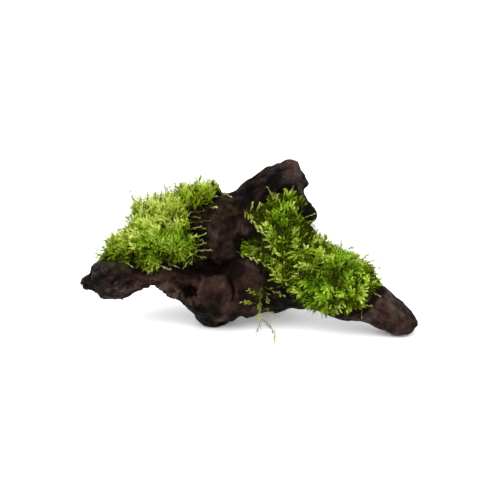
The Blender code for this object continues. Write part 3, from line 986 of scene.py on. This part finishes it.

# %% [markdown]
# ## The two cushions
# The left cushion is yellow-green and stands up along its top. The right one is deeper green, with
# patches of clean green, and its shoots trail down the arm. On both the shoots lean away from a line
# along the cushion's heart. Each has a low layer of short dark shoots, a high layer of bright ones,
# and a thin layer of fine shoots that reach the solid's face. Moss grows in clumps with gaps between
# them, so shoots in a gap are shorter, and they are coloured darker there as painted shade, most of all
# on the right. Each layer is its own piece, so that no single mesh grows too heavy.

# %% Where the moss is old or in painted shade, trimmed or deep green
HEARTS = {"moss_left_cushion": [(150, 252), (188, 246)], "moss_right_cushion": [(282, 236), (345, 288)]}
# Darker shoots: partly older growth, partly painted shade at the cushions' lower hems and in dark patches.
OLD_AND_SHADED_PLACES = [
    (105, 257, 5), (119, 259, 7), (137, 257, 7), (153, 255, 7), (172, 258, 5), (262, 246, 7),
    (300, 222, 6), (282, 232, 5), (296, 205, 8), (339, 271, 5), (346, 274, 4), (307, 269, 4),
    (316, 247, 4), (272, 263, 4), (298, 252, 4), (321, 304, 4), (288, 266, 4), (151, 212, 3),
    (285, 200, 5), (271, 212, 4), (288, 217, 5), (296, 214, 5), (275, 224, 4),
]
TRIMMED_PLACES = [
    (132, 211, 6), (116, 232, 6), (154, 192, 6), (193, 180, 7), (326, 233, 6), (382, 278, 6),
]
GREEN_PATCHES = [
    (163, 233, 6), (178, 234, 7), (191, 243, 6), (142, 242, 5), (285, 249, 6), (345, 262, 10),
    (360, 275, 7), (313, 290, 11), (284, 208, 6),
]
print("old places:", len(OLD_AND_SHADED_PLACES), "and deep green patches:", len(GREEN_PATCHES))

# %% Greenness, clumps and gaps
CLUMP_SPACING = 7 * MM
CLUMPING = {"moss_left_cushion": 0.55, "moss_right_cushion": 1.35}
CLUMPS = {solid: spread_over(solid, CLUMP_SPACING, np.random.default_rng(90))[0] for solid in CLUMPING}


def greenness(points, seed):
    """How deep green shoots are at these points: noise, raised round the photograph's green spots."""
    return 0.75 * lattice_noise(points, 8 * MM, seed) - 0.05 + 0.6 * seen_near(points, GREEN_PATCHES)


def gaps_between_clumps(solid, points):
    """0 near the middle of a clump, and the solid's clumping in the gaps, where the nearest middle
    is over 4.2 mm away."""
    middles = CLUMPS[solid]
    away = np.linalg.norm(points - middles[nearest(points, middles)], axis=1)
    return smooth_step(away, 1.2 * MM, 4.2 * MM) * CLUMPING[solid]


print("clumps:", ", ".join(f"{len(middles)} on {solid}" for solid, middles in CLUMPS.items()))

# %% Shoots for one layer
UP_AND_BACK = (0, 0.1, 0.3)
FOOT_AGE = 0.12


def layer(solid, rise, past, ages, green, seed, spacing=3.6 * MM, spread=(5, 8), **make):
    """Shoots for one layer of a cushion. Their tips rise to this share of the solid's height, more
    or less by clumps and gaps, and end this far past there in mm, or 2 mm less where the moss is
    trimmed. Where the cushion is bare, shoots are left out. Shoots whose tips face up are paler and
    more yellow, partly as new growth and partly as painted light from above. Old places are darker,
    partly as old growth and partly as painted shade, and gaps are darker as painted shade."""
    rng = np.random.default_rng(seed)
    tips, outward, below, height = spread_over(solid, spacing, rng)
    kept = rng.uniform(0.1, 0.9, len(tips)) > seen_near(tips, BARE_PLACES)
    tips, outward, below, height = (values[kept] for values in (tips, outward, below, height))
    gap = gaps_between_clumps(solid, tips)
    clumps = rise * (0.88 + 0.3 * lattice_noise(tips, 9 * MM, seed + 7) - 0.3 * gap)
    past = (rng.uniform(*past, len(tips)) * MM - seen_near(tips, TRIMMED_PLACES) * 2 * MM)[:, None]
    tips = bark_points[below] + (tips - bark_points[below]) * clumps[:, None] + past * outward
    growth = unit(away_from_path(tips, skin[skin_behind(HEARTS[solid])])) + UP_AND_BACK
    stems, flats = stems_to(tips, outward, below, height * clumps, growth, seed, rng)
    outside = unit(outward + bark_normals[below])
    # Painted light from above, partly new growth: shoots whose tips face up get paler, more yellow tips.
    top = smooth_step(outward[:, 2], 0.3, 0.95)
    hues = np.clip(green + greenness(tips, seed + 3) - 0.15 * top, 0.15, 0.95)
    # Old places and gaps between clumps get darker tips: in the gaps this is painted shade, in the old places
    # partly painted shade and partly old growth.
    tip_age = rng.uniform(*ages, len(tips)) + 0.2 * top - 0.4 * seen_near(tips, OLD_AND_SHADED_PLACES)
    tip_age += 0.4 * (lattice_noise(tips, 4 * MM, seed + 9) - 0.5) + 0.1 - 0.5 * gap
    spread = rng.uniform(*spread, len(tips)) * MM
    print(solid, "gets", len(tips), "shoots")
    ages = np.stack([np.full(len(tips), FOOT_AGE), tip_age], axis=1)
    return shoots(stems, flats, outside, hues, ages, spread, rng, **make)


# %% All layers of both cushions
FINE = dict(branchlets=2, stem_leaves=22, leaves=8, leaf=0.65 * MM)
LEFT_LAYERS = {
    "moss_left_low_shoots": dict(rise=0.6, past=(-2, 0), ages=(0.42, 0.76), green=0.05, seed=210),
    "moss_left_shoots": dict(rise=1.0, past=(-6, -2.5), ages=(0.9, 1.15), green=0.12, seed=200),
    "moss_left_fine_shoots": dict(
        rise=1.08, past=(-3, 4), ages=(0.72, 1.05), green=-0.04, seed=220,
        spacing=4.2 * MM, spread=(2, 4.5), **FINE,
    ),
}
RIGHT_LAYERS = {
    "moss_right_low_shoots": dict(rise=0.6, past=(-2, 0), ages=(0.15, 0.6), green=0.15, seed=310),
    "moss_right_shoots": dict(rise=1.0, past=(-4, -1), ages=(0.73, 1.26), green=0.17, seed=300),
    "moss_right_fine_shoots": dict(
        rise=1.0, past=(-1.5, 2.5), ages=(0.6, 1.1), green=0.05, seed=320,
        spacing=4.5 * MM, spread=(2, 3.5), **FINE,
    ),
}

for solid, layers in zip(CUSHIONS, (LEFT_LAYERS, RIGHT_LAYERS)):
    for name, values in layers.items():
        add_shoots(name, layer(solid, **values), solid)

# %% [markdown]
# ## Stray shoots at the rims
# The photograph shows single shoots that leave the cushions: pale and dim fingers that reach over the
# dark wood, fine hairs that stand out from the outline, and long runners that creep along an edge.
# They are few and they show well, so each is placed by pixels: a row holds the column and row of its
# foot and those of its tip. Fingers and runners are lifted a little from the bark towards the camera.

# %% Where the stray shoots are, as pixels of the photograph
LEFT_FINGERS = [
    (196, 198, 221, 197), (209, 206, 218, 208), (188, 230, 200, 227), (190, 238, 206, 234),
    (194, 246, 206, 243), (192, 251, 213, 251), (194, 255, 207, 258), (192, 258, 183, 270),
    (222, 191, 232, 197), (184, 217, 191, 213), (166, 261, 180, 269), (158, 266, 170, 271),
    (144, 265, 151, 274), (122, 258, 133, 268),
]
LEFT_HAIRS = [
    (205, 191, 208.5, 177), (196, 187, 197, 179), (199, 184, 201, 176), (187, 190, 186, 183),
    (177, 191, 175, 183), (166, 195, 164, 183), (168, 195, 167, 187), (161, 200, 161.5, 191),
    (155, 201, 155.5, 193), (147, 203, 148, 192), (142, 205, 140, 196), (135, 205, 131, 191),
    (138, 209, 132, 207), (130, 223, 125.5, 217), (134, 219, 129, 214), (126, 230, 117.5, 230),
    (126, 237, 118, 234), (110, 250, 104, 238), (113, 246, 111, 238), (119, 245, 117, 238),
    (108, 251, 95, 250), (106, 256, 97, 256), (112, 254, 102, 246), (219, 193, 218, 184),
    (113, 247, 103, 240), (115, 248, 106, 236), (110, 252, 101, 244), (106, 258, 94, 257),
    (105, 257, 95, 253), (136, 226, 125, 221), (136, 222, 127, 216), (141, 208, 133, 198),
    (144, 206, 136, 197), (210, 190, 208, 178), (172, 194, 169, 186), (181, 190, 181, 183),
]
DIM_FINGERS = [
    (190, 212, 206, 209), (191, 217, 199, 218), (194, 223, 210, 221), (199, 228, 206, 229),
    (204, 200, 213, 202), (198, 202, 203, 210), (196, 240, 203, 241), (186, 207, 195, 203),
]
RIGHT_HAIRS = [
    (320, 239, 319, 230), (326, 240, 325.5, 235), (341, 247, 341, 240), (346, 250, 354, 248),
    (361, 261, 368.5, 254.5), (366, 262, 377, 259), (366, 264, 374, 265.5), (369, 270, 381, 268),
    (371, 276, 378, 274.5), (372, 280, 382, 278), (375, 284, 381, 285), (299, 228, 303, 224),
]
RIGHT_FINGERS = [
    (304, 223, 314, 221), (358, 304, 373, 306), (362, 290, 361, 320), (371, 291, 381, 297),
    (276, 200, 268, 187), (287, 198, 293, 186), (283, 198, 285, 188), (302, 220, 316, 214),
    (250, 212, 253, 202), (256, 212, 260, 203),
]
RUNNERS = [
    [(236, 251), (250, 257), (267, 265), (283, 281), (302, 295)],
    [(243, 208), (250, 217), (257, 226), (266, 232)],
]
print("fingers:", len(LEFT_FINGERS + DIM_FINGERS + RIGHT_FINGERS), "hairs:", len(LEFT_HAIRS + RIGHT_HAIRS))

# %% Fingers, hairs and runners
LIFT = 3.0 * MM
RUNNER_LIFT = 5.0 * MM
ARCH_MM = 1.5
SWAY_MM = 1.4
ON_BARK = dict(branchlets=2, stem_leaves=30, leaves=5, leaf=0.6 * MM)
IN_AIR = dict(branchlets=4, leaves=6)


def over_bark(pixels, lift):
    """Points seen at these pixels, this far in front of the bark."""
    return wood[skin_behind(pixels)] - ahead * lift


def straight_past(feet, foot_pixels, tip_pixels):
    """Points seen at the tips' pixels, as far ahead of the camera as the feet."""
    step = (tip_pixels - foot_pixels) * PIXEL
    return feet + step[:, :1] * across - step[:, 1:] * above


def chained(path):
    """Curves along a path: root, bend and tip are a stretch's middle, the next point and the next
    stretch's middle, and the two ends of the path are kept."""
    middles = (path[1:] + path[:-1]) / 2
    roots = np.concatenate([path[:1], middles[1:-1]])
    tips = np.concatenate([middles[1:-1], path[-1:]])
    return np.stack([roots, path[1:-1], tips], axis=1)


def fingers(ends, seed, paleness=1.0, free=False):
    """Nearly straight shoots, each from a foot inside the cushion to its own tip, which lies over
    the bark or stands free in the air. They arch towards the camera and sway up or down."""
    rng = np.random.default_rng(seed)
    foot_pixels, tip_pixels = np.split(np.array(ends, float), 2, axis=1)
    feet = over_bark(foot_pixels, LIFT)
    if free:
        feet = straight_past(feet, np.stack(seen_at(feet)[:2], axis=1), foot_pixels)
        tips = straight_past(feet, foot_pixels, tip_pixels)
    else:
        tips = over_bark(tip_pixels, LIFT)
    sway = rng.uniform(-SWAY_MM, SWAY_MM, (len(feet), 1))
    bends = (feet + tips) / 2 - ahead * ARCH_MM * MM + above * sway * MM
    stems = np.stack([feet, bends, tips], axis=1)
    flats = unit(unit(np.cross(tips - feet, ahead)) + 0.3 * rng.normal(size=feet.shape))
    ages = np.stack([rng.uniform(0.4, 0.6, len(feet)), rng.uniform(0.7, 1.0, len(feet))], axis=1) * paleness
    hues = 0.25 if free else rng.uniform(0.09, 0.12, len(feet))
    return shoots(stems, flats, -ahead, hues, ages, 2 * MM, rng, **(IN_AIR if free else ON_BARK))


def runners(paths, seed):
    """Creeping shoots along chains of curves, with short branchlets on both sides."""
    rng = np.random.default_rng(seed)
    stems = np.concatenate([chained(over_bark(path, RUNNER_LIFT)) for path in paths])
    flats = unit(unit(np.cross(stems[:, 2] - stems[:, 0], ahead)) + 0.3 * rng.normal(size=(len(stems), 3)))
    ages = np.tile([0.6, 0.82], (len(stems), 1))
    return shoots(stems, flats, -ahead, 0.11, ages, 3.6 * MM, rng, stem_leaves=36, leaf=0.65 * MM)


left_strays = joined([
    fingers(LEFT_FINGERS, 500), fingers(DIM_FINGERS, 550, 0.55), fingers(LEFT_HAIRS, 530, 0.65, free=True),
])
add_shoots("moss_left_strays", left_strays, "moss_left_cushion")
right_strays = joined([
    fingers(RIGHT_FINGERS, 510), fingers(RIGHT_HAIRS, 540, 0.65, free=True), runners(RUNNERS, 520),
])
add_shoots("moss_right_strays", right_strays, "moss_right_cushion")

# %% [markdown]
# ## The loose sprig
# One sprig hangs beside the boss down to the floor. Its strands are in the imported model, and the
# shoots here follow the same routes, with one thin strand more. A strand with many points becomes a
# chain of curves: each one runs from the middle of one stretch, around a point, to the middle of the
# next. The points are in millimetres from the point of the base that the camera was placed by.

# %% Shoots along the sprig's strands
SPRIG_STRANDS = [
    [(7, -14, 32), (6, -19, 29), (5.3, -24, 23), (5.3, -26.5, 18.5), (6, -28, 13.4)],
    [(6, -28, 13.4), (4.6, -29, 10), (3.6, -29.5, 6.3)],
    [(6.5, -27.5, 15.5), (10, -28.5, 13), (13, -29.5, 9), (14.7, -30, 5), (13.8, -30, 2.6)],
    [(6, -21, 27), (2, -22.5, 29.5), (-1, -22, 31)],
    [(5.3, -24, 23), (0, -24.5, 24.5), (-5, -24, 24.5)],
    [(7, -17, 31), (13.6, -20, 30), (20.5, -22, 26.5)],
    [(6, -25, 22), (12, -26.5, 19.5), (16.6, -27, 16)],
    [(8, -24, 31.5), (11.1, -25, 28), (9.8, -25.5, 24.8)],
]


def sprig_shoots(seed):
    """Shoots along all strands, which get younger from their roots to their tips."""
    chains = [chained(np.array(strand, float) * MM + BASE_POINT) for strand in SPRIG_STRANDS]
    steps = [np.linspace(0.3, 0.7, len(chain) + 1) for chain in chains]
    stems = np.concatenate(chains)
    ages = np.concatenate([np.stack([step[:-1], step[1:]], axis=1) for step in steps])
    flats = unit(np.cross(stems[:, 2] - stems[:, 0], (0.0, -1.0, 0.3)))
    return shoots(stems, flats, -ahead, 0.1, ages, 3.3 * MM, np.random.default_rng(seed),
                  branchlets=5, stem_leaves=28, leaves=11, leaf=0.62 * MM)


add_shoots("moss_hanging_sprig", sprig_shoots(400), "moss_hanging_sprig")

# %% [markdown]
# ## Floor and light
# The photograph was taken on white paper in soft light: the background burns out to pure white and
# only a soft grey shadow shows under the wood. A large pale floor, a white world, a very broad lamp
# high on the left and a smaller one on the right give the same.

# %% The floor
FLOOR_SIZE = 6.0
FLOOR_DEPTH = 0.05 * MM


def floor_finish():
    """Matt white paper."""
    paper = Finish("floor_paper")
    return paper.done(paper.node("BsdfPrincipled", inputs={
        "Base Color": (0.9, 0.9, 0.9, 1), "Roughness": 0.8, "Specular IOR Level": 0.2,
    }))


corners = np.array([(-1, -1, 0), (1, -1, 0), (1, 1, 0), (-1, 1, 0)]) * FLOOR_SIZE / 2 - (0, 0, FLOOR_DEPTH)
floor = linked("floor", mesh_from_arrays("floor", corners, np.array([[0, 1, 2, 3]])))
floor.data.materials.append(floor_finish())

# %% The light
WORLD_STRENGTH = 1.4
LAMP_AIM = (0, 0, 0.04)

world = bpy.data.worlds.new("white_room")
bpy.context.scene.world = world
world.use_nodes = True
background = world.node_tree.nodes["Background"]
background.inputs["Color"].default_value = (1, 1, 1, 1)
background.inputs["Strength"].default_value = WORLD_STRENGTH
bpy.context.scene.view_settings.view_transform = "Standard"


def add_lamp(name, place, size, watts):
    """A square lamp that faces the middle of the object."""
    light = bpy.data.lights.new(name, "AREA")
    light.size, light.energy = size, watts
    lamp = linked(name, light)
    lamp.location = place
    away = np.array(place) - LAMP_AIM
    flat_distance = math.hypot(away[0], away[1])
    lamp.rotation_euler = (math.atan2(flat_distance, away[2]), 0, math.atan2(away[0], -away[1]))


add_lamp("key_lamp", (-0.55, -0.5, 1.15), size=1.4, watts=26)
add_lamp("fill_lamp", (0.7, -0.9, 0.8), size=0.7, watts=8)
